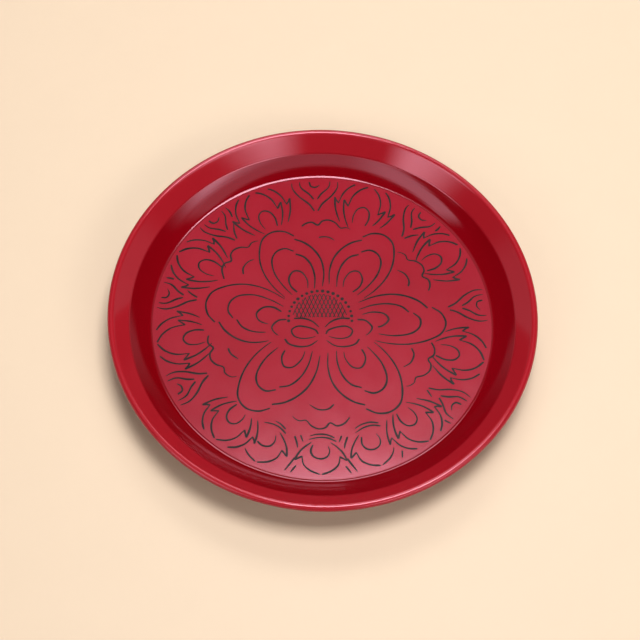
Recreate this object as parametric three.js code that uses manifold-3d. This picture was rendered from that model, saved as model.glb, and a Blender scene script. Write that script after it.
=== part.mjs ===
// Round turned-wood tray, lacquered red, with a flower carved into the panel and filled with black.
// Millimetres, +Z up. The origin is the centre of the foot ring on the table, and +Y is the
// flower's upright direction.

import * as THREE from "three";
import { mergeVertices } from "three/addons/utils/BufferGeometryUtils.js";
import Module from "manifold-3d";

const wasm = await Module();
wasm.setup();

// Driving dimensions
const RIM_RADIUS = 120;
const PANEL_RADIUS = 96;
const PANEL_HEIGHT = 6.8;
const CREASE = [108.4, 14.95];
const LIP = { top: 24.2, radius: 2.2, startAngle: 135, endAngle: -45, steps: 4 };
const FOOT = { innerRadius: 76, outerRadius: 83, height: 2.4 };
const COAT = 0.5;
const PANEL_COAT = 1.1;
const COAT_GAP = 0.05;
const TURNED_SEGMENTS = 60;

// Carved lines
const LINE = { width: 0.95, tip: 0.4, depth: 0.6, clearance: 0.05, apart: 1.4, shortest: 4 };
const FILL_SINK = 0.06;
const FINE_STEP = 0.5;
const SAMPLES_KEPT = 7;

// The flower's middle sits this far above the turning centre.
const FLOWER_Y = 1.1;

// Hatched flower centre
const HATCH = { x: -1.2, y: 2.4, radius: 15, pitch: 4.4, lean: 0.42, width: 0.8 };

const lacquer = (color, roughness) => new THREE.MeshStandardMaterial({ color, roughness, metalness: 0 });
const WOOD = lacquer(0xb98a5a, 0.75);
const PANEL_RED = lacquer(0xb2323c, 0.22);
const RIM_RED = lacquer(0xa01420, 0.16);
const BACK_RED = lacquer(0x8c1018, 0.3);
const FILL_BLACK = lacquer(0x1c1214, 0.6);

// Every line runs from its blunt start to its thin end.
// A petal's lines, from its base to its tip: [share of the length, share of the half width].
const PETAL_LINES = {
  outer_long: [[0.87, -0.32], [0.97, -0.08], [1.01, 0.28], [0.95, 0.64], [0.8, 0.86], [0.6, 0.98],
    [0.4, 0.96], [0.2, 0.82], [0.02, 0.6]],
  outer_short: [[0.82, -0.3], [0.73, -0.56], [0.59, -0.77], [0.42, -0.87], [0.22, -0.81],
    [0.03, -0.62]],
  middle_long: [[0.65, -0.14], [0.72, 0.08], [0.71, 0.36], [0.62, 0.58], [0.42, 0.66], [0.2, 0.54],
    [0.03, 0.36]],
  middle_short: [[0.6, -0.18], [0.52, -0.4], [0.38, -0.52], [0.2, -0.5], [0.03, -0.36]],
  drop: [[0.05, 0.19], [0.16, 0.31], [0.28, 0.28], [0.36, 0.06], [0.32, -0.15], [0.18, -0.24],
    [0.06, -0.17]],
};
const PETAL_COVER = { from: [0.48, 0], semi: [0.56, 1.07] };
const PETALS = {
  north_west: { base: [-10, 17], tip: [-23, 59], half: 18.5, side: 1 },
  north_east: { base: [14, 17.5], tip: [32, 57.5], half: 17.8, side: -1 },
  east: { base: [20, 0.5], tip: [69.5, 3], half: 17.4, side: -1 },
  south_east: { base: [14, -14.5], tip: [32, -58.5], half: 19.8, side: 1 },
  south_west: { base: [-10.5, -14.5], tip: [-38, -57], half: 19.3, side: -1 },
  west: { base: [-21, 1.5], tip: [-66, 5.5], half: 19.8, side: -1 },
};

// A back petal's lines, from a point on its scalloped edge: [outward, sideways].
const BACK_PETAL_LINES = {
  edge: [[-7, 15.5], [-2, 11.5], [-0.6, 7.5], [-2.4, 3.8], [0.4, 1.2], [1.2, -2.5], [-0.6, -6.5],
    [-4, -9.6], [-3.6, -13], [-6, -16.5], [-10, -17.5]],
  arc: [[-13.5, 6], [-10.8, 3], [-10.4, -2.5], [-13.4, -7.5]],
};
const BACK_PETALS = {
  north: { heading: 88, radius: 65, side: 1 },
  north_east: { heading: 29.5, radius: 67, side: -1 },
  south_east: { heading: -26, radius: 66.5, side: 1 },
  south: { heading: -90, radius: 66, side: 1 },
  south_west: { heading: 199.5, radius: 66, side: -1 },
  north_west: { heading: 140, radius: 67, side: 1 },
};

// The east bud's lines, [x, y]. The west bud mirrors it.
const BUD_LINES = {
  top: [[15.8, 1], [10.5, 1.1], [5.5, -0.8], [1.6, -4.6]],
  lobe: [[20.2, 0.4], [24.6, -0.2], [28.4, -4.6], [26.8, -8], [24.6, -9.8]],
  bottom: [[21, -12], [18.8, -15], [13, -16.8], [7, -16.1], [2.4, -12.8]],
  loop: [[2.2, -8.8], [3.4, -6.6], [8, -4.6], [14, -4], [17.2, -6.5], [15.6, -10.2], [11, -11.7],
    [6, -11.1], [3.6, -10.2]],
};
const BUD_COVER = { from: [13.5, -7.2], semi: [16.6, 11] };
const BUDS = { east: 1, west: -1 };

// A profile of [radius, height] points turned about Z. It runs from axis to axis or closes on itself.
function turned(profile) {
  const onAxis = profile[0][0] === 0;
  const line = (onAxis ? profile : [...profile, profile[0]]).map((point) => new THREE.Vector2(...point));
  return new THREE.LatheGeometry(line, TURNED_SEGMENTS).rotateX(Math.PI / 2).rotateZ(Math.PI / 2);
}

// The same line moved sideways by a distance, to the right of its direction.
function offset(line, distance) {
  return line.map(([radius, height], index) => {
    const before = line[Math.max(0, index - 1)];
    const after = line[Math.min(line.length - 1, index + 1)];
    const run = new THREE.Vector2(after[0] - before[0], after[1] - before[1]).normalize();
    return [radius + run.y * distance, height - run.x * distance];
  });
}

// The face runs from the panel's edge over the cove, the crease, the flare and the round lip.
const lipPoint = (degrees) => {
  const angle = THREE.MathUtils.degToRad(degrees);
  return [
    RIM_RADIUS - LIP.radius + LIP.radius * Math.cos(angle),
    LIP.top - LIP.radius + LIP.radius * Math.sin(angle),
  ];
};
const lipArc = Array.from({ length: LIP.steps + 1 }, (_, step) =>
  lipPoint(THREE.MathUtils.lerp(LIP.startAngle, LIP.endAngle, step / LIP.steps)));
const FACE = [
  [PANEL_RADIUS + COAT_GAP, PANEL_HEIGHT], [97.4, 7.04], [98.8, 7.77], [104, 11.3], CREASE, ...lipArc,
];

// The back runs from under the lip down the outside to the foot ring.
const BACK = [
  [119.2, 20.22], [118.6, 19.5], [116.9, 17.7], [110.4, 11.4], [103.5, 6.3], [95, 3.65], [83.6, 2.7],
];

function solidOf(geometry) {
  const bare = geometry.clone();
  for (const attribute of ["normal", "uv"]) bare.deleteAttribute(attribute);
  const merged = mergeVertices(bare, 1e-4);
  return new wasm.Manifold(new wasm.Mesh({
    numProp: 3,
    vertProperties: new Float32Array(merged.attributes.position.array),
    triVerts: new Uint32Array(merged.index.array),
  }));
}

function geometryOf(solid) {
  const mesh = solid.getMesh();
  const geometry = new THREE.BufferGeometry();
  geometry.setAttribute("position", new THREE.BufferAttribute(new Float32Array(mesh.vertProperties), 3));
  geometry.setIndex(new THREE.BufferAttribute(new Uint32Array(mesh.triVerts), 1));
  geometry.computeVertexNormals();
  return geometry;
}

// A motif's own axes on the panel: where it starts, its outward direction and its two scales.
function axes(x, y, degrees, along, across) {
  const angle = THREE.MathUtils.degToRad(degrees);
  const out = new THREE.Vector2(Math.cos(angle), Math.sin(angle));
  const place = (u, v) => new THREE.Vector2(
    x + along * u * out.x - across * v * out.y,
    y + FLOWER_Y + along * u * out.y + across * v * out.x);
  const local = (point) => {
    const away = new THREE.Vector2(point.x - x, point.y - y - FLOWER_Y);
    return [away.dot(out) / along, away.cross(out) / -across];
  };
  return { place, local };
}

// Every carved line as { name, path }. A line stops where a motif in front of it covers it.
function carvedLines() {
  const covers = [];
  const lines = [];
  const isClear = (point) => covers.every((cover) => cover(point));
  const addMotif = (name, motifLines, { place }) => {
    for (const [line, points] of Object.entries(motifLines)) {
      const curve = new THREE.CatmullRomCurve3(
        points.map((point) => new THREE.Vector3(...place(...point), 0)), false, "centripetal");
      const fine = curve.getSpacedPoints(Math.round(curve.getLength() / FINE_STEP)).filter(isClear);
      const isLong = fine.length * FINE_STEP > LINE.shortest;
      if (isLong) lines.push({ name: `${name}_${line}`, path: thinned(fine) });
    }
  };
  const addCover = ({ from, semi }, { local }, along, across) => covers.push((point) => {
    const [u, v] = local(point);
    const room = [semi[0] + LINE.apart / along, semi[1] + LINE.apart / Math.abs(across)];
    return Math.hypot((u - from[0]) / room[0], (v - from[1]) / room[1]) > 1;
  });

  const buds = Object.entries(BUDS).map(([name, side]) =>
    [name, axes(0, 0, side > 0 ? 0 : 180, 1, side)]);
  for (const [name, frame] of buds) addMotif(`bud_${name}`, BUD_LINES, frame);
  for (const [, frame] of buds) addCover(BUD_COVER, frame, 1, 1);

  const petals = Object.entries(PETALS).map(([name, { base, tip, half, side }]) => {
    const reach = new THREE.Vector2(tip[0] - base[0], tip[1] - base[1]);
    const heading = THREE.MathUtils.radToDeg(reach.angle());
    return [name, axes(...base, heading, reach.length(), half * side), reach.length(), half];
  });
  for (const [name, frame] of petals) addMotif(`petal_${name}`, PETAL_LINES, frame);
  for (const [, frame, length, half] of petals) addCover(PETAL_COVER, frame, length, half);

  for (const [name, { heading, radius, side }] of Object.entries(BACK_PETALS)) {
    const angle = THREE.MathUtils.degToRad(heading);
    const frame = axes(radius * Math.cos(angle), radius * Math.sin(angle), heading, 1, side);
    addMotif(`back_petal_${name}`, BACK_PETAL_LINES, frame);
  }
  return lines;
}

// Every few points of a finely sampled line, with both of its ends.
function thinned(fine) {
  const steps = Math.max(4, Math.round(fine.length / SAMPLES_KEPT));
  return Array.from({ length: steps + 1 }, (_, step) =>
    fine[Math.round(((fine.length - 1) * step) / steps)]);
}

// The outline of one carved line: nearly full width at its blunt start, then thinning to its end.
function lineShape(path, clearance) {
  const left = [];
  const right = [];
  path.forEach((point, step) => {
    const before = path[Math.max(0, step - 1)];
    const after = path[Math.min(path.length - 1, step + 1)];
    const heading = new THREE.Vector2(after.x - before.x, after.y - before.y).normalize();
    const along = step / (path.length - 1);
    const swell = Math.min(1, 0.7 + 3 * along) * Math.sqrt(1 - along * along);
    const half = (LINE.tip + (LINE.width - LINE.tip) * swell) / 2 + clearance;
    const overrun = clearance * (Number(along === 1) - Number(along === 0));
    const middle = new THREE.Vector2(point.x, point.y).addScaledVector(heading, overrun);
    left.push(new THREE.Vector2(middle.x - heading.y * half, middle.y + heading.x * half));
    right.push(new THREE.Vector2(middle.x + heading.y * half, middle.y - heading.x * half));
  });
  return new THREE.Shape([...right, ...left.reverse()]);
}

function extruded(shape, bottom, top) {
  const geometry = new THREE.ExtrudeGeometry(shape, { depth: top - bottom, bevelEnabled: false, steps: 1 });
  return geometry.translate(0, 0, bottom);
}

const FILL_TOP = PANEL_HEIGHT - FILL_SINK;
const FILL_BOTTOM = PANEL_HEIGHT - LINE.depth;
const GROOVE_BOTTOM = FILL_BOTTOM - LINE.clearance;
const ABOVE_PANEL = PANEL_HEIGHT + 1;

// Straight crossing cuts inside a half disc, joined into one lattice.
function hatchLattice(clearance, bottom, top) {
  const half = HATCH.width / 2 + clearance;
  const bars = [];
  for (const side of [-1, 1]) {
    const lean = HATCH.lean * side;
    const reach = HATCH.radius * (1 + HATCH.lean);
    for (let foot = -reach; foot <= reach; foot += HATCH.pitch) {
      const bar = new THREE.Shape([
        new THREE.Vector2(foot - half, 0),
        new THREE.Vector2(foot + half, 0),
        new THREE.Vector2(foot + half + lean * HATCH.radius, HATCH.radius),
        new THREE.Vector2(foot - half + lean * HATCH.radius, HATCH.radius),
      ]);
      bars.push(solidOf(extruded(bar, bottom, top)));
    }
  }
  const dome = new THREE.Shape();
  dome.absarc(0, 0, HATCH.radius + clearance, 0, Math.PI, false);
  dome.closePath();
  const domeSolid = solidOf(new THREE.ExtrudeGeometry(dome, {
    depth: top - bottom + 2, bevelEnabled: false, steps: 1, curveSegments: 10,
  }).translate(0, 0, bottom - 1));
  const lattice = bars.reduce((joined, bar) => joined.add(bar)).intersect(domeSolid);
  const largest = lattice.decompose().reduce((a, b) => (a.volume() > b.volume() ? a : b));
  return geometryOf(largest.translate([HATCH.x, HATCH.y + FLOWER_Y, 0]));
}

const group = new THREE.Group();

function addPiece(name, geometry, material) {
  const mesh = new THREE.Mesh(geometry, material);
  mesh.name = name;
  group.add(mesh);
}

// One turned piece of wood: bare on the foot ring, a coat's thickness under everything else.
function woodCore() {
  const under = COAT + COAT_GAP;
  const pocket = PANEL_HEIGHT - PANEL_COAT - COAT_GAP;
  return turned([
    [0, FOOT.height + under],
    [FOOT.innerRadius, FOOT.height + under],
    [FOOT.innerRadius, 0],
    [FOOT.outerRadius, 0],
    [FOOT.outerRadius, BACK.at(-1)[1] + under],
    ...offset(BACK, under).reverse(),
    ...offset(FACE, under).reverse(),
    [PANEL_RADIUS + COAT_GAP, pocket],
    [0, pocket],
  ]);
}

function disc(radius, bottom, top) {
  return turned([[0, bottom], [radius, bottom], [radius, top], [0, top]]);
}

addPiece("wood_core", woodCore(), WOOD);
addPiece("rim_coat", turned([...offset(FACE, COAT), ...FACE.toReversed()]), RIM_RED);
addPiece("back_coat", turned([...offset(BACK, COAT), ...BACK.toReversed()]), BACK_RED);
addPiece("recess_coat", disc(FOOT.innerRadius - COAT_GAP, FOOT.height, FOOT.height + COAT), BACK_RED);

const lines = carvedLines();

let panel = solidOf(disc(PANEL_RADIUS, PANEL_HEIGHT - PANEL_COAT, PANEL_HEIGHT));
for (const { path } of lines) {
  panel = panel.subtract(solidOf(extruded(lineShape(path, LINE.clearance), GROOVE_BOTTOM, ABOVE_PANEL)));
}
panel = panel.subtract(solidOf(hatchLattice(LINE.clearance, GROOVE_BOTTOM, ABOVE_PANEL)));
addPiece("panel_coat", geometryOf(panel), PANEL_RED);

for (const { name, path } of lines) {
  addPiece(name, extruded(lineShape(path, 0), FILL_BOTTOM, FILL_TOP), FILL_BLACK);
}
addPiece("core_hatch", hatchLattice(0, FILL_BOTTOM, FILL_TOP), FILL_BLACK);

export default group;
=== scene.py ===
"""Looks of the round carved lacquer tray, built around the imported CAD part.

Lengths named in millimetres are turned into metres by MM. The tray stands on z = 0, its turning
axis is Z, and Y points to the top of the carved flower, away from the camera.
"""

import random
from functools import reduce
from math import atan2, cos, degrees, hypot, pi, radians, sin, sqrt

import bmesh
import bpy
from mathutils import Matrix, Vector, geometry


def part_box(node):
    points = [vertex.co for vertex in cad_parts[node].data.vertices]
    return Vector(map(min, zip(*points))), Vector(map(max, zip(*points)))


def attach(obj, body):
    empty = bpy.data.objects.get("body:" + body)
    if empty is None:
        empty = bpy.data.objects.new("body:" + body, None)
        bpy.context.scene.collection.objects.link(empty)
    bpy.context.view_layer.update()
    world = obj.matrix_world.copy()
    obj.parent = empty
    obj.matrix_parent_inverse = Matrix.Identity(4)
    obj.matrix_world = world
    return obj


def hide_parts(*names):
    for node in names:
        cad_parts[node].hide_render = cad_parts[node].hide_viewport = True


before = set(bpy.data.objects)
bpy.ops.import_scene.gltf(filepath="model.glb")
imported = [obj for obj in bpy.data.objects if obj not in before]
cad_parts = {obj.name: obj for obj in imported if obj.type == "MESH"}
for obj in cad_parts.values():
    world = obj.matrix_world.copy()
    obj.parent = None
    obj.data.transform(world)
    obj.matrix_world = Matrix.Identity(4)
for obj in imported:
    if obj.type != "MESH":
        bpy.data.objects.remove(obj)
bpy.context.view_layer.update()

MM = 0.001
random.seed(8)

# ---- Sizes that come from the CAD part, in millimetres ----


def cad_top(node):
    """Largest radius and height of a turned CAD node."""
    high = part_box(node)[1]
    return high.x / MM, high.z / MM


def cad_bottom(node):
    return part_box(node)[0].z / MM


PANEL_RADIUS, PANEL_TOP = cad_top("panel_coat")
PANEL_BOTTOM = cad_bottom("panel_coat")
RIM_RADIUS, RIM_TOP = cad_top("rim_coat")
RECESS_RADIUS, RECESS_TOP = cad_top("recess_coat")
RECESS_BOTTOM = cad_bottom("recess_coat")

COAT = 0.5
COAT_GAP = 0.05
LIP_RADIUS = 2.2
# The lip's round, in degrees from level, outwards, to where it starts and ends.
LIP_START, LIP_END, LIP_STEP = 132, -45, -3
TURNED_SEGMENTS = 288

# Turned face from the panel's edge over the cove and the crease to the lip, as [radius, height].
FACE_INNER = [(96, 6.8), (96.7, 6.86), (97.4, 7.04), (98.1, 7.35), (98.8, 7.77), (100.2, 8.66),
              (102, 9.88), (104, 11.34), (106.2, 13.1), (108.4, 14.95)]
FACE_OUTER = [(108.4, 14.95), (108.9, 15.5), (112, 18.9), (115, 22.19), (116.24, 23.55)]
# Turned back from under the lip to the foot ring.
BACK = [(119.2, 20.22), (118.6, 19.5), (116.9, 17.7), (110.4, 11.4), (103.5, 6.3), (95, 3.65),
        (83.6, 2.7)]
FOOT_INNER, FOOT_OUTER, FOOT_CHAMFER = 76.0, 83.0, 0.5
CREASE_RADIUS = FACE_OUTER[0][0]
# Distances between the points of the smoothed curves.
INNER_STEP, OUTER_STEP, BACK_STEP = 0.4, 0.5, 0.8
# Edges sharper than this, in degrees, stay sharp on the turned pieces.
SHARP_ANGLE, SHARP_ANGLE_ROUND = 30, 40

# ---- Carved pattern, in millimetres on the panel ----

CARVED_RADIUS = 94.4
# The flower's middle sits this far above the turning centre.
FLOWER_Y = 1.1
LINE_WIDTH = 1.15
LINE_TIP = 0.3
LINE_STEP = 0.8
LINE_APART = 1.4
LINE_SHORTEST = 3.2
GROOVE_DEPTH = 0.35
FILL_SINK = 0.07
# Each line's own share of the width, and the waver of its edges from step to step.
LINE_SPREAD = (0.9, 1.1)
WAVER, WAVER_TURN = 0.08, 0.55
# A line's width starts at this share, grows at this rate along it and falls off by this power.
SWELL_START, SWELL_RATE, SWELL_FALL = 0.72, 2.5, 2.4
# The corners of a line's blunt start, in degrees from its heading.
START_TURNS = (60, 20, -20, -60)
# Corners closer together than this are joined when the lines are cut into the panel.
CUT_MERGE = 1e-6

# Every line runs from its blunt start to its thin end.
# A petal's lines, from its base to its tip: (share of the length, share of the half width).
PETAL_LINES = {
    "outer_long": [(0.87, -0.32), (0.97, -0.08), (1.01, 0.28), (0.95, 0.64), (0.8, 0.86),
                   (0.6, 0.98), (0.4, 0.96), (0.2, 0.82), (0.02, 0.6)],
    "outer_short": [(0.82, -0.3), (0.73, -0.56), (0.59, -0.77), (0.42, -0.87), (0.22, -0.81),
                    (0.03, -0.62)],
    "middle_long": [(0.65, -0.14), (0.72, 0.08), (0.71, 0.36), (0.62, 0.58), (0.42, 0.66),
                    (0.2, 0.54), (0.03, 0.36)],
    "middle_short": [(0.6, -0.18), (0.52, -0.4), (0.38, -0.52), (0.2, -0.5), (0.03, -0.36)],
    "drop": [(0.05, 0.19), (0.16, 0.31), (0.28, 0.28), (0.36, 0.06), (0.32, -0.15), (0.18, -0.24),
             (0.06, -0.17)],
}
PETAL_COVER = ((0.48, 0), (0.56, 1.07))
# Each petal's base, tip, half width and the side that its long outline is on.
PETALS = {
    "north_west": ((-10, 17), (-23, 59), 18.5, 1),
    "north_east": ((14, 17.5), (32, 57.5), 17.8, -1),
    "east": ((20, 0.5), (69.5, 3), 17.4, -1),
    "south_east": ((14, -14.5), (32, -58.5), 19.8, 1),
    "south_west": ((-10.5, -14.5), (-38, -57), 19.3, -1),
    "west": ((-21, 1.5), (-66, 5.5), 19.8, -1),
}

# A back petal's lines, from a point on its scalloped edge: (outward, sideways).
BACK_PETAL_LINES = {
    "edge": [(-7, 15.5), (-2, 11.5), (-0.6, 7.5), (-2.4, 3.8), (0.4, 1.2), (1.2, -2.5),
             (-0.6, -6.5), (-4, -9.6), (-3.6, -13), (-6, -16.5), (-10, -17.5)],
    "arc": [(-13.5, 6), (-10.8, 3), (-10.4, -2.5), (-13.4, -7.5)],
}
# Each back petal's heading, radius and side.
BACK_PETALS = {
    "north": (88, 65, 1), "north_east": (29.5, 67, -1), "south_east": (-26, 66.5, 1),
    "south": (-90, 66, 1), "south_west": (199.5, 66, -1), "north_west": (140, 67, 1),
}

# The east bud's lines, (x, y). The west bud mirrors it.
BUD_LINES = {
    "top": [(15.8, 1), (10.5, 1.1), (5.5, -0.8), (1.6, -4.6)],
    "lobe": [(20.2, 0.4), (24.6, -0.2), (28.4, -4.6), (26.8, -8), (24.6, -9.8)],
    "bottom": [(21, -12), (18.8, -15), (13, -16.8), (7, -16.1), (2.4, -12.8)],
    "loop": [(2.2, -8.8), (3.4, -6.6), (8, -4.6), (14, -4), (17.2, -6.5), (15.6, -10.2),
             (11, -11.7), (6, -11.1), (3.6, -10.2)],
}
BUD_COVER = ((13.5, -7.2), (16.6, 11))
BUDS = {"east": 1, "west": -1}

# A leaf's lines on one side of its midline, from its root: (outward, sideways).
LEAF_DROP = [(2, -4), (8, -5), (13, -3.6), (15, -0.2), (13, 3), (8, 4.2), (3, 3.4)]
LEAF_LINES = {
    "inner": [(29.5, 0.6), (26, 5.2), (20.5, 8.4), (12.6, 9.2)],
    "notch": [(12.8, 9), (14.6, 11), (16.6, 12.6)],
    "inner_lobe": [(16.2, 12.8), (9, 10.6), (3.5, 7.6), (-0.5, 4.6)],
}
LEAF_HOOD = {
    "outer": [(29, 8.4), (25.5, 12), (20, 14.6), (13, 15.2)],
    "outer_notch": [(13.2, 15), (14.6, 17), (16.6, 18.4)],
    "outer_lobe": [(16.2, 18.6), (8.5, 15.4), (1.5, 10.6)],
}
LEAF_COLLAR = {
    "collar": [(-1.5, 7.5), (-4.5, 3.5), (-5, -1), (-3, -6)],
    "collar_back": [(-5, 6.5), (-7.8, 2.5), (-8, -2), (-6.4, -5.5)],
}
LEAF_COVERS = {"hooded": ((13, 0), (16.5, 17)), "collared": ((13, 0), (16, 11.5))}
LEAF_LENGTH, LEAF_REACH = 29.5, 94
# Each leaf's heading, root radius and kind: inside a hood, or behind a collar at its root.
LEAVES = [(115.5, 65, "hooded"), (71, 63.5, "hooded"), (31, 67, "hooded"), (-16, 65.5, "hooded"),
          (152.3, 65, "hooded"), (189, 64, "hooded"), (-52, 69, "hooded"), (231, 69, "hooded"),
          (-91, 75.5, "collared"), (-113, 73.5, "collared"), (-70.5, 73.5, "collared")]
COLLARED_WIDTH = 1.12

# Two curved blades of grass between leaves, from their root: (outward, sideways).
BLADE_LINES = {
    "front": [(-2, 0.5), (4, -2.2), (11, -2), (20.5, 2.6)],
    "back": [(-1, 3.6), (5, 1.2), (11, 1.6), (20, 6)],
}
BLADE_RADIUS = 74
# Each pair of blades' heading and the side that it leans to.
BLADES = [(-82.5, 1), (-99.5, -1), (-61.5, -1), (-121.5, 1)]

# A half blossom's lines on one side of its midline, and its eye.
BLOSSOM_LINES = {
    "outer": [(-0.5, 0.8), (4, 2.8), (10, 7.4), (16, 10), (23, 9.6)],
    "inner": [(7.5, 0.8), (11, 2.6), (16, 6.2), (22, 6.8)],
}
BLOSSOM_EYE = [(19.6, 3.2), (16.6, 2.4), (15.8, -0.4), (17.4, -3)]
BLOSSOM_RADIUS = 73
# Each half blossom's heading and width.
BLOSSOMS = [(92, 1.35), (133, 1), (169, 1), (208, 1), (-36.5, 1), (6, 1), (48.5, 1.15)]

# The flower's centre: a half disc of fine crossing cuts inside an arc of dots.
HATCH_CENTRE, HATCH_RADIUS = (-1.1, 1.8 + FLOWER_Y), 15.3
HATCH_PITCH, HATCH_LEAN, HATCH_WIDTH = 2.35, 0.42, 0.6
# Samples along each cut, the fewest that make a cut, and its sideways shift in pitches.
HATCH_SAMPLES, HATCH_FEWEST, HATCH_SHIFT = 60, 8, 0.25
DOTS_CENTRE, DOTS_RADIUS, DOT_RADIUS = (-0.9, 0.8 + FLOWER_Y), 18, 0.95
DOTS, DOTS_FROM, DOTS_TO = 20, -4, 184
DOT_SIDES, DOT_SPREAD = 12, (0.82, 1.15)


def polar(radius, heading):
    """The point at a radius and at a heading in degrees."""
    return radius * cos(radians(heading)), radius * sin(radians(heading))


def spline(points, step=LINE_STEP):
    """Points along a centripetal Catmull-Rom curve through the given ones, about a step apart."""
    ends = [tuple(2 * a - b for a, b in zip(points[0], points[1])),
            tuple(2 * a - b for a, b in zip(points[-1], points[-2]))]
    knots = [ends[0], *points, ends[1]]
    made = []
    for a, b, c, d in zip(knots, knots[1:], knots[2:], knots[3:]):
        t1 = sqrt(hypot(b[0] - a[0], b[1] - a[1]))
        t2 = t1 + sqrt(hypot(c[0] - b[0], c[1] - b[1]))
        t3 = t2 + sqrt(hypot(d[0] - c[0], d[1] - c[1]))
        count = max(2, round(hypot(c[0] - b[0], c[1] - b[1]) / step))
        for i in range(count):
            t = t1 + (t2 - t1) * i / count
            point = []
            for k in (0, 1):
                ab = a[k] + (b[k] - a[k]) * t / t1
                bc = b[k] + (c[k] - b[k]) * (t - t1) / (t2 - t1)
                cd = c[k] + (d[k] - c[k]) * (t - t2) / (t3 - t2)
                abc = ab + (bc - ab) * t / t2
                bcd = bc + (cd - bc) * (t - t1) / (t3 - t1)
                point.append(abc + (bcd - abc) * (t - t1) / (t2 - t1))
            made.append(tuple(point))
    made.append(tuple(points[-1]))
    return made


class Axes:
    """A motif's own axes on the panel: its start, its outward heading and its two scales."""

    def __init__(self, x, y, heading, along=1.0, across=1.0):
        self.x, self.y, self.along, self.across = x, y, along, across
        self.out = (cos(radians(heading)), sin(radians(heading)))

    def place(self, u, v):
        along, across = self.along * u, self.across * v
        return (self.x + along * self.out[0] - across * self.out[1],
                self.y + FLOWER_Y + along * self.out[1] + across * self.out[0])

    def local(self, x, y):
        dx, dy = x - self.x, y - FLOWER_Y - self.y
        return ((dx * self.out[0] + dy * self.out[1]) / self.along,
                (dy * self.out[0] - dx * self.out[1]) / self.across)


def carved_lines():
    """Every carved line, {motif: [points]}. A line stops where a motif in front covers it."""
    covers, motifs = [], {}

    def clear(point):
        if hypot(*point) > CARVED_RADIUS:
            return False
        for axes, (centre, semi) in covers:
            u, v = axes.local(*point)
            room = (semi[0] + LINE_APART / axes.along, semi[1] + LINE_APART / abs(axes.across))
            if hypot((u - centre[0]) / room[0], (v - centre[1]) / room[1]) <= 1:
                return False
        return True

    def add(motif, lines, axes):
        for points in lines:
            run = []
            for point in spline([axes.place(*p) for p in points]) + [None]:
                if point is not None and clear(point):
                    run.append(point)
                    continue
                if len(run) * LINE_STEP > LINE_SHORTEST:
                    motifs.setdefault(motif, []).append(run)
                run = []

    buds = {name: Axes(0, 0, 0 if side > 0 else 180, 1, side) for name, side in BUDS.items()}
    for name, axes in buds.items():
        add("bud_" + name, BUD_LINES.values(), axes)
    covers += [(axes, BUD_COVER) for axes in buds.values()]

    petals = {}
    for name, (base, tip, half, side) in PETALS.items():
        reach = (tip[0] - base[0], tip[1] - base[1])
        heading = degrees(atan2(reach[1], reach[0]))
        petals[name] = Axes(*base, heading, hypot(*reach), half * side)
        add("petal_" + name, PETAL_LINES.values(), petals[name])
    covers += [(axes, PETAL_COVER) for axes in petals.values()]

    for name, (heading, radius, side) in BACK_PETALS.items():
        axes = Axes(*polar(radius, heading), heading, 1, side)
        add("back_petal_" + name, BACK_PETAL_LINES.values(), axes)

    for number, (heading, radius, kind) in enumerate(LEAVES, 1):
        motif = f"leaf_{number}"
        root = polar(radius, heading)
        along = (LEAF_REACH - radius) / LEAF_LENGTH
        across = 1 if kind == "hooded" else COLLARED_WIDTH
        axes = Axes(*root, heading, along, across)
        add(motif, [LEAF_DROP], axes)
        if kind == "collared":
            add(motif, LEAF_COLLAR.values(), axes)
        sides = [*LEAF_LINES.values(), *(LEAF_HOOD.values() if kind == "hooded" else [])]
        for side in (1, -1):
            add(motif, sides, Axes(*root, heading, along, side * across))
        covers.append((axes, LEAF_COVERS[kind]))

    for number, (heading, side) in enumerate(BLADES, 1):
        axes = Axes(*polar(BLADE_RADIUS, heading), heading, 1, side)
        add(f"blades_{number}", BLADE_LINES.values(), axes)

    for number, (heading, width) in enumerate(BLOSSOMS, 1):
        motif = f"blossom_{number}"
        root = polar(BLOSSOM_RADIUS, heading)
        add(motif, [BLOSSOM_EYE], Axes(*root, heading))
        for side in (1, -1):
            add(motif, BLOSSOM_LINES.values(), Axes(*root, heading, 1, side * width))
    return motifs


def ribbon(path):
    """The outline of one carved line: a round blunt start, a slow swell and a thin end."""
    left, right = [], []
    phase, weight = random.uniform(0, 2 * pi), random.uniform(*LINE_SPREAD)
    last = len(path) - 1
    for step, point in enumerate(path):
        before, after = path[max(0, step - 1)], path[min(last, step + 1)]
        run = hypot(after[0] - before[0], after[1] - before[1])
        heading = ((after[0] - before[0]) / run, (after[1] - before[1]) / run)
        along = step / last
        swell = min(1, SWELL_START + SWELL_RATE * along) * sqrt(max(0, 1 - along ** SWELL_FALL))
        waver = 1 + WAVER * sin(phase + WAVER_TURN * step)
        half = (LINE_TIP + (LINE_WIDTH * weight - LINE_TIP) * swell) / 2 * waver
        if step == 0:
            for turn in START_TURNS:
                c, s = cos(radians(turn)), sin(radians(turn))
                right.append((point[0] - half * (heading[0] * c - heading[1] * s),
                              point[1] - half * (heading[1] * c + heading[0] * s)))
        left.append((point[0] - heading[1] * half, point[1] + heading[0] * half))
        right.append((point[0] + heading[1] * half, point[1] - heading[0] * half))
    return right + left[::-1]


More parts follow.
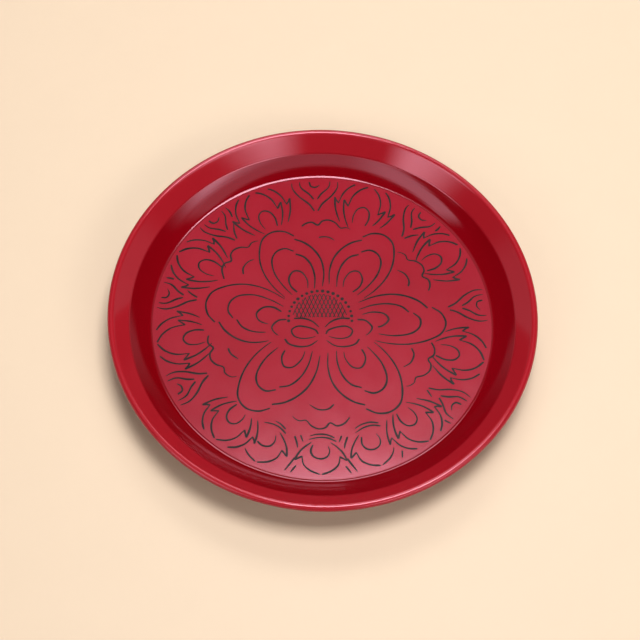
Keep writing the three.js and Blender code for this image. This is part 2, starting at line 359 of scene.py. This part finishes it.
def hatch():
    """Fine straight cuts leaning both ways, each clipped to the half disc."""
    made = []
    half = HATCH_WIDTH / 2
    heights = [k / HATCH_SAMPLES * HATCH_RADIUS for k in range(HATCH_SAMPLES + 1)]
    count = int(HATCH_RADIUS * (1 + HATCH_LEAN) / HATCH_PITCH)
    for side in (1, -1):
        lean = HATCH_LEAN * side
        for number in range(-count, count + 1):
            foot = (number + HATCH_SHIFT * side) * HATCH_PITCH
            inside = [y for y in heights if hypot(foot + lean * y, y) <= HATCH_RADIUS]
            if len(inside) < HATCH_FEWEST:
                continue
            (x1, y1), (x2, y2) = [(HATCH_CENTRE[0] + foot + lean * y, HATCH_CENTRE[1] + y)
                                  for y in (inside[0], inside[-1])]
            made.append([(x1 - half, y1), (x1 + half, y1), (x2 + half, y2), (x2 - half, y2)])
    return made


def dots():
    """Small round cuts in an arc around the hatching, each a little different in size."""
    made = []
    for number in range(DOTS):
        angle = radians(DOTS_FROM + (DOTS_TO - DOTS_FROM) * number / (DOTS - 1))
        x = DOTS_CENTRE[0] + DOTS_RADIUS * cos(angle)
        y = DOTS_CENTRE[1] + DOTS_RADIUS * sin(angle)
        size = DOT_RADIUS * random.uniform(*DOT_SPREAD)
        corners = [polar(size, 360 * k / DOT_SIDES) for k in range(DOT_SIDES)]
        made.append([(x + dx, y + dy) for dx, dy in corners])
    return made


def anticlockwise(outline):
    area = sum(a[0] * b[1] - b[0] * a[1] for a, b in zip(outline, outline[1:] + outline[:1]))
    return outline if area > 0 else outline[::-1]


# ---- Meshes ----


def new_object(name, vertices, faces, material, smooth_angle=None):
    """A mesh object from millimetres, its faces turned outwards."""
    mesh = bpy.data.meshes.new(name)
    mesh.from_pydata([tuple(c * MM for c in v) for v in vertices], [], faces)
    work = bmesh.new()
    work.from_mesh(mesh)
    bmesh.ops.recalc_face_normals(work, faces=work.faces)
    work.to_mesh(mesh)
    work.free()
    if smooth_angle is not None:
        mesh.shade_smooth()
        mesh.set_sharp_from_angle(angle=radians(smooth_angle))
    mesh.materials.append(material)
    made = bpy.data.objects.new(name, mesh)
    bpy.context.scene.collection.objects.link(made)
    return made


def part_of_tray(made, nodes):
    """Makes an object a piece of the tray that stands for these CAD nodes, if there are any."""
    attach(made, "root")
    if nodes:
        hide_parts(*nodes)


def turned(name, profile, material, node, smooth_angle=SHARP_ANGLE):
    """A [radius, height] profile turned about Z. It runs from axis to axis or closes on itself."""
    vertices, rings = [], []
    for radius, height in profile:
        if radius == 0:
            rings.append([len(vertices)] * TURNED_SEGMENTS)
            vertices.append((0, 0, height))
            continue
        rings.append(list(range(len(vertices), len(vertices) + TURNED_SEGMENTS)))
        vertices += [(radius * cos(2 * pi * k / TURNED_SEGMENTS),
                      radius * sin(2 * pi * k / TURNED_SEGMENTS), height)
                     for k in range(TURNED_SEGMENTS)]
    pairs = list(zip(rings, rings[1:]))
    if profile[0][0] != 0:
        pairs.append((rings[-1], rings[0]))
    faces = []
    for inner, outer in pairs:
        for k in range(TURNED_SEGMENTS):
            n = (k + 1) % TURNED_SEGMENTS
            faces.append(list(dict.fromkeys([inner[k], inner[n], outer[n], outer[k]])))
    part_of_tray(new_object(name, vertices, faces, material, smooth_angle), [node])


def offset(line, distance):
    """The same line moved sideways by a distance, to the right of its direction."""
    moved = []
    for index, (radius, height) in enumerate(line):
        before, after = line[max(0, index - 1)], line[min(len(line) - 1, index + 1)]
        run = hypot(after[0] - before[0], after[1] - before[1])
        moved.append((radius + (after[1] - before[1]) / run * distance,
                      height - (after[0] - before[0]) / run * distance))
    return moved


def carve(motifs, red, black):
    """The lacquered panel with every carved line cut into it, and the filling of each motif."""
    segments = TURNED_SEGMENTS
    coords = [(PANEL_RADIUS * cos(2 * pi * k / segments), PANEL_RADIUS * sin(2 * pi * k / segments))
              for k in range(segments)]
    faces, owners = [list(range(segments))], [None]
    for motif, outlines in motifs.items():
        for outline in outlines:
            faces.append(list(range(len(coords), len(coords) + len(outline))))
            coords += anticlockwise(outline)
            owners.append(motif)
    points, _, triangles, _, _, origins = geometry.delaunay_2d_cdt(
        [Vector(c) for c in coords], [], faces, 1, CUT_MERGE, True)
    owner_of = [next((owners[f] for f in sorted(o) if owners[f]), None) for o in origins]
    across = {}
    for number, triangle in enumerate(triangles):
        for a, b in zip(triangle, triangle[1:] + triangle[:1]):
            across[(a, b)] = number

    def stepped(chosen, levels, outside=None):
        """Triangles at their own heights, with walls where the height changes.

        Given the height outside them, they also get walls down to it and an underside.
        """
        vertices, made, index = [], [], {}

        def corner(point, height):
            key = (point, height)
            if key not in index:
                index[key] = len(vertices)
                vertices.append((points[point][0], points[point][1], height))
            return index[key]

        for number in chosen:
            triangle = triangles[number]
            top = levels(number)
            made.append([corner(p, top) for p in triangle])
            if outside is not None:
                made.append([corner(p, outside) for p in reversed(triangle)])
            for a, b in zip(triangle, triangle[1:] + triangle[:1]):
                other = across.get((b, a))
                low = levels(other) if other in chosen else outside
                if low is not None and low < top:
                    made.append([corner(b, top), corner(a, top), corner(a, low), corner(b, low)])
        return vertices, made, corner

    everything = set(range(len(triangles)))
    floor_level = PANEL_TOP - GROOVE_DEPTH
    vertices, made, corner = stepped(
        everything, lambda n: floor_level if owner_of[n] else PANEL_TOP)
    edge = [(a, b) for (a, b) in across if (b, a) not in across]
    follow = dict(edge)
    loop = [edge[0][0]]
    while follow[loop[-1]] != loop[0]:
        loop.append(follow[loop[-1]])
    for a, b in edge:
        made.append([corner(b, PANEL_TOP), corner(a, PANEL_TOP),
                     corner(a, PANEL_BOTTOM), corner(b, PANEL_BOTTOM)])
    made.append([corner(p, PANEL_BOTTOM) for p in reversed(loop)])
    panel = new_object("carved_panel", vertices, made, red)
    part_of_tray(panel, ["panel_coat"])

    fill_top = PANEL_TOP - FILL_SINK
    for motif in motifs:
        chosen = {n for n in everything if owner_of[n] == motif}
        vertices, made, _ = stepped(chosen, lambda n: fill_top, floor_level)
        filling = new_object("fill_" + motif, vertices, made, black)
        nodes = [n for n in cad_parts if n.startswith(motif + "_") or n == motif]
        part_of_tray(filling, nodes)


# ---- Materials ----


class Graph:
    """A material's node tree, with short calls for adding and joining nodes."""

    def __init__(self, name):
        self.material = bpy.data.materials.new(name)
        self.material.use_nodes = True
        self.tree = self.material.node_tree
        self.shader = self.tree.nodes["Principled BSDF"]
        self.coordinates = self.node("ShaderNodeTexCoord").outputs["Object"]

    def node(self, kind, **inputs):
        made = self.tree.nodes.new(kind)
        for key, value in inputs.items():
            socket = made.inputs[key.replace("_", " ")]
            if isinstance(value, bpy.types.NodeSocket):
                self.tree.links.new(value, socket)
            else:
                socket.default_value = value
        return made

    def link(self, source, target):
        self.tree.links.new(source, target)

    def set(self, **inputs):
        for key, value in inputs.items():
            self.shader.inputs[key.replace("_", " ")].default_value = value

    def noise(self, scale, detail=4.0, roughness=0.55, stretch=(1, 1, 1)):
        place = self.node("ShaderNodeMapping", Vector=self.coordinates, Scale=stretch)
        return self.node("ShaderNodeTexNoise", Vector=place.outputs[0], Scale=scale,
                         Detail=detail, Roughness=roughness).outputs["Fac"]

    def span(self, value, low, high, start=0.0, end=1.0):
        made = self.node("ShaderNodeMapRange", Value=value)
        for key, number in (("From Min", start), ("From Max", end), ("To Min", low),
                            ("To Max", high)):
            made.inputs[key].default_value = number
        return made.outputs["Result"]

    def mix(self, factor, a, b):
        made = self.tree.nodes.new("ShaderNodeMix")
        made.data_type = "RGBA"
        self.link(factor, made.inputs[0])
        for socket, value in ((made.inputs[6], a), (made.inputs[7], b)):
            if isinstance(value, bpy.types.NodeSocket):
                self.link(value, socket)
            else:
                socket.default_value = (*value, 1)
        return made.outputs[2]

    def math(self, operation, *values):
        made = self.tree.nodes.new("ShaderNodeMath")
        made.operation = operation
        for socket, value in zip(made.inputs, values):
            if isinstance(value, bpy.types.NodeSocket):
                self.link(value, socket)
            else:
                socket.default_value = value
        return made.outputs[0]

    def radius(self):
        """Distance from the turning axis, in metres."""
        parts = self.node("ShaderNodeSeparateXYZ", Vector=self.coordinates)
        x, y = parts.outputs[0], parts.outputs[1]
        square = self.math("ADD", self.math("MULTIPLY", x, x), self.math("MULTIPLY", y, y))
        return self.math("SQRT", square)

    def bump(self, height, distance):
        made = self.node("ShaderNodeBump", Height=height, Strength=1.0, Distance=distance)
        self.link(made.outputs[0], self.shader.inputs["Normal"])


# Turning marks: radians per metre of radius, and their share of the ripple beside the noises'.
TURNING_PITCH, TURNING_SHARE, FINE_SHARE, BROAD_SHARE = 5200, 0.04, 0.12, 1.0
# Half the width of the change from the cove's red to the lighter, painted-light red beyond it, in
# metres.
PAINTED_LIGHT_FADE = 0.0006
LACQUER_GLINT = (1.0, 0.55, 0.68, 1.0)


def lacquer(name, deep, clear, roughness, ripple, ior=1.55, painted_light_beyond=None):
    """Hand-brushed red lacquer: slow colour drift, faint turning marks and a slightly uneven gloss.

    Beyond a radius in metres the red may turn to another, lighter one: painted light for a part
    that faces more light: (radius, colour).
    """
    g = Graph(name)
    drift = g.noise(14, detail=3)
    red = g.mix(g.span(drift, 0, 1, 0.3, 0.7), deep, clear)
    # Past the radius the base red turns lighter: painted light.
    if painted_light_beyond:
        radius, pale = painted_light_beyond
        edge = g.span(g.radius(), 0, 1, radius - PAINTED_LIGHT_FADE, radius + PAINTED_LIGHT_FADE)
        red = g.mix(edge, red, pale)
    g.link(red, g.shader.inputs["Base Color"])
    smear = g.noise(60, detail=5, stretch=(1, 1, 0.4))
    g.link(g.span(smear, *roughness, 0.3, 0.7), g.shader.inputs["Roughness"])
    rings = g.math("SINE", g.math("MULTIPLY", g.radius(), TURNING_PITCH))
    fine = g.noise(420, detail=2)
    broad = g.noise(30, detail=2)
    noises = g.math("ADD", g.math("MULTIPLY", fine, FINE_SHARE),
                    g.math("MULTIPLY", broad, BROAD_SHARE))
    g.bump(g.math("ADD", g.math("MULTIPLY", rings, TURNING_SHARE), noises), ripple)
    g.set(IOR=ior, Specular_Tint=LACQUER_GLINT)
    return g.material


def filling_material():
    """Matte black lacquer rubbed into the cuts, a little uneven and dusty brown in places."""
    g = Graph("black_filling")
    grain = g.noise(900, detail=4)
    patch = g.noise(90, detail=3)
    dark = g.mix(g.span(patch, 0, 1, 0.35, 0.7), (0.006, 0.003, 0.0035), (0.022, 0.008, 0.009))
    g.link(dark, g.shader.inputs["Base Color"])
    g.link(g.span(grain, 0.3, 0.45, 0.3, 0.7), g.shader.inputs["Roughness"])
    g.bump(grain, 0.00003)
    g.set(IOR=1.18)
    return g.material


def wood_material():
    """Bare turned hardwood: straight grain bands with fine pores running along X."""
    g = Graph("bare_wood")
    bands = g.noise(26, detail=4, stretch=(0.25, 3.2, 3.2))
    pores = g.noise(260, detail=3, stretch=(0.12, 2.4, 2.4))
    base = g.mix(g.span(bands, 0, 1, 0.32, 0.68), (0.36, 0.2, 0.095), (0.62, 0.41, 0.22))
    worn = g.mix(g.span(pores, 0, 1, 0.55, 0.75), base, (0.2, 0.1, 0.045))
    g.link(worn, g.shader.inputs["Base Color"])
    g.link(g.span(pores, 0.55, 0.8), g.shader.inputs["Roughness"])
    g.bump(pores, 0.0002)
    g.set(IOR=1.45)
    return g.material


# Each coat's deep and clear reds, its range of roughness and the height of its ripple in metres.
panel_red = lacquer("panel_lacquer", deep=(0.182, 0.003, 0.008), clear=(0.21, 0.004, 0.011),
                    roughness=(0.13, 0.17), ripple=2e-5)
# The rim's reds are darker than the panel's: painted shade for the cove. The lighter red past the
# crease is painted light on the flare.
rim_red = lacquer("rim_lacquer", deep=(0.125, 0.0004, 0.002), clear=(0.14, 0.0006, 0.003),
                  roughness=(0.06, 0.09), ripple=2e-5, ior=1.48,
                  painted_light_beyond=(CREASE_RADIUS * MM, (0.245, 0.007, 0.012)))
back_red = lacquer("back_lacquer", deep=(0.2, 0.002, 0.006), clear=(0.28, 0.004, 0.01),
                   roughness=(0.14, 0.24), ripple=6e-5)
black = filling_material()
wood = wood_material()

# ---- The tray ----

lip_centre = (RIM_RADIUS - LIP_RADIUS, RIM_TOP - LIP_RADIUS)
lip_turns = [polar(LIP_RADIUS, turn) for turn in range(LIP_START, LIP_END + LIP_STEP, LIP_STEP)]
lip = [(lip_centre[0] + x, lip_centre[1] + z) for x, z in lip_turns]
face = spline(FACE_INNER, INNER_STEP)[:-1] + spline(FACE_OUTER, OUTER_STEP)[:-1] + lip
back = spline(BACK, BACK_STEP)
recess = [(0, RECESS_BOTTOM), (RECESS_RADIUS, RECESS_BOTTOM), (RECESS_RADIUS, RECESS_TOP),
          (0, RECESS_TOP)]

turned("rim", offset(face, COAT) + face[::-1], rim_red, "rim_coat",
       SHARP_ANGLE_ROUND)
turned("outside", offset(back, COAT) + back[::-1], back_red, "back_coat",
       SHARP_ANGLE_ROUND)
turned("underside", recess, back_red, "recess_coat")

# The wood lies a gap under every coat and stands on the foot ring.
under = COAT + COAT_GAP
pocket = PANEL_BOTTOM - COAT_GAP
foot = [(0, RECESS_TOP + COAT_GAP), (FOOT_INNER, RECESS_TOP + COAT_GAP),
        (FOOT_INNER, FOOT_CHAMFER),
        (FOOT_INNER + FOOT_CHAMFER, 0), (FOOT_OUTER - FOOT_CHAMFER, 0), (FOOT_OUTER, FOOT_CHAMFER),
        (FOOT_OUTER, BACK[-1][1] + under)]
core = foot + offset(back, under)[::-1] + offset(face, under)[::-1]
core = [p for p in core if p[0] < RIM_RADIUS] + [(PANEL_RADIUS + COAT_GAP, pocket), (0, pocket)]
turned("wooden_core", core, wood, "wood_core")

motifs = {motif: [ribbon(path) for path in paths] for motif, paths in carved_lines().items()}
motifs["core_hatch"] = hatch()
motifs["core_dots"] = dots()
carve(motifs, panel_red, black)

# ---- Floor, light and camera, in metres ----

FLOOR_SIZE = 6
FLOOR_COLOUR = (0.5, 0.38, 0.27)
FLOOR_ROUGHNESS = 0.6
FLOOR_SPECK = 0.97


def plain_material(name, colour, roughness):
    """An even colour with faint darker specks."""
    g = Graph(name)
    speck = g.noise(40, detail=3)
    dark = tuple(c * FLOOR_SPECK for c in colour)
    g.link(g.mix(speck, dark, colour), g.shader.inputs["Base Color"])
    g.set(Roughness=roughness)
    return g.material


bpy.ops.mesh.primitive_plane_add(size=FLOOR_SIZE)
floor = bpy.context.object
floor.name = "floor"
floor.data.materials.append(plain_material("pale_floor", FLOOR_COLOUR, FLOOR_ROUGHNESS))

# Soft boxes overhead and beyond the tray: the key, and a weaker one that softens its edge.
# Each has its place, size and radiance.
SOFT_BOXES = {
    "key": ((0.22, 0.16, 1.6), (0.66, 0.68), 20.0),
    "key_edge": ((0.22, 0.19, 1.65), (0.86, 0.82), 1.5),
}
for name, (place, size, radiance) in SOFT_BOXES.items():
    data = bpy.data.lights.new(name, "AREA")
    data.shape = "RECTANGLE"
    data.size, data.size_y = size
    data.energy = radiance * pi * size[0] * size[1]
    light = bpy.data.objects.new(name, data)
    light.location = place
    bpy.context.scene.collection.objects.link(light)

# The room's brightness by direction. Each part of it is a product of fades along the direction's
# axes: (axis, start, end, value up to the start, value from the end on).
ROOM = {
    "walls": [("Z", 0.2, 0.28, 1, 0.02), ("Y", 0.55, 0.85, 0.5, 0.05)],
    "far_ceiling": [("Z", 0.79, 0.93, 0, 0.8), ("Y", -0.1, 0.15, 0, 1)],
    "wall_behind_camera": [("Z", 0.63, 0.66, 0, 1), ("Z", 0.76, 0.8, 1, 0),
                           ("Y", -0.25, -0.1, 1, 0), ("X", -0.45, -0.1, 3.5, 1.4)],
    "window_beyond": [("Z", 0.5, 0.6, 0, 9), ("Z", 0.7, 0.78, 1, 0), ("X", -0.35, -0.15, 0, 1),
                      ("X", 0.2, 0.4, 1, 0), ("Y", 0.1, 0.3, 0, 1)],
    "window_left": [("X", -0.6, -0.4, 7, 0), ("Z", 0.36, 0.44, 0, 1), ("Z", 0.5, 0.6, 1, 0),
                    ("Y", -0.45, -0.25, 1, 0)],
    "window_right": [("X", 0.1, 0.42, 0, 9), ("X", 0.6, 0.9, 1, 0.1), ("Z", 0.4, 0.5, 0, 1),
                     ("Z", 0.56, 0.68, 1, 0), ("Y", -0.4, -0.05, 1, 0)],
}
world = bpy.data.worlds.new("room")
bpy.context.scene.world = world
world.use_nodes = True
tree = world.node_tree
background = tree.nodes["Background"]
direction = tree.nodes.new("ShaderNodeTexCoord").outputs["Generated"]
parts = tree.nodes.new("ShaderNodeSeparateXYZ")
tree.links.new(direction, parts.inputs[0])


def fade(axis, start, end, low, high):
    made = tree.nodes.new("ShaderNodeMapRange")
    made.interpolation_type = "SMOOTHSTEP"
    tree.links.new(parts.outputs[axis], made.inputs["Value"])
    for key, value in (("From Min", start), ("From Max", end), ("To Min", low), ("To Max", high)):
        made.inputs[key].default_value = value
    return made.outputs["Result"]


def combine(operation, sockets):
    """All the sockets multiplied or added, two at a time."""

    def pair(a, b):
        made = tree.nodes.new("ShaderNodeMath")
        made.operation = operation
        tree.links.new(a, made.inputs[0])
        tree.links.new(b, made.inputs[1])
        return made.outputs[0]

    return reduce(pair, sockets)


lit = combine("ADD", [combine("MULTIPLY", [fade(*f) for f in fades]) for fades in ROOM.values()])
tree.links.new(lit, background.inputs["Strength"])
background.inputs["Color"].default_value = (1, 1, 1, 1)

# The camera looks down at this pitch, in degrees, at a point a little above the panel.
CAMERA_PITCH = 62.49
CAMERA_DISTANCE = 0.905
CAMERA_SIDE = -0.0232
CAMERA_LIFT = 0.0022
CAMERA_LENS, CAMERA_SENSOR = 90, 36
CAMERA_SHIFT = 0.061
camera_data = bpy.data.cameras.new("camera")
camera_data.lens = CAMERA_LENS
camera_data.sensor_width = CAMERA_SENSOR
camera_data.shift_x = CAMERA_SHIFT
camera = bpy.data.objects.new("camera", camera_data)
back_off, height = polar(CAMERA_DISTANCE, CAMERA_PITCH)
camera.location = (CAMERA_SIDE, -back_off, PANEL_TOP * MM + CAMERA_LIFT + height)
camera.rotation_euler = (radians(90 - CAMERA_PITCH), 0, 0)
bpy.context.scene.collection.objects.link(camera)
bpy.context.scene.camera = camera
bpy.context.scene.view_settings.view_transform = "Standard"
